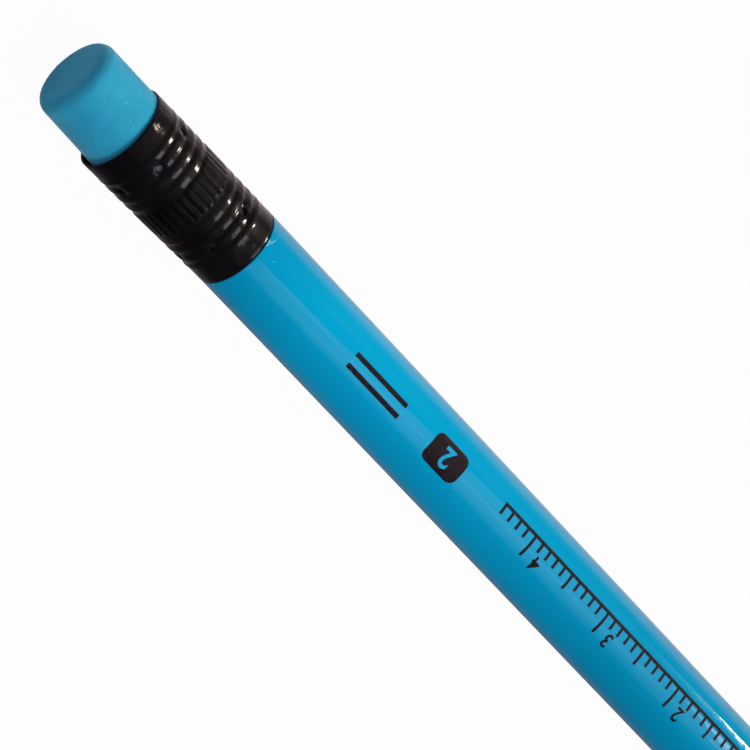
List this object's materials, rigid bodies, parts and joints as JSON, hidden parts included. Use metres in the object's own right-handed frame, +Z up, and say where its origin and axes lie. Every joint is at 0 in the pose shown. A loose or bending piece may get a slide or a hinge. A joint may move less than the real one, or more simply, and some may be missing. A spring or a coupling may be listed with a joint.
{
  "type": "pencil with eraser",
  "caption": "Round wood-cased graphite pencil with a blue lacquered barrel, a sharpened point, and a black crimped metal ferrule that holds a blue rubber eraser.",
  "frame": {"origin": "centre of the pencil's footprint, on the flat surface that it lies on", "axes": "+X along the pencil from its writing point towards its eraser, +Z up from the surface it lies on, +Y to the left of someone who looks along +X"},
  "size_m": [0.19, 0.0077, 0.0076],
  "materials": {
    "case_wood": "matte",
    "graphite": "satin",
    "blue_lacquer": "gloss",
    "black_enamel": "gloss",
    "blue_rubber": "matte"
  },
  "bodies": {
    "root": {"case_half_upper": "case_wood", "case_half_lower": "case_wood", "graphite_core": "graphite", "lacquer_coat": "blue_lacquer", "ferrule": "black_enamel", "eraser": "blue_rubber"}
  },
  "joints": []
}
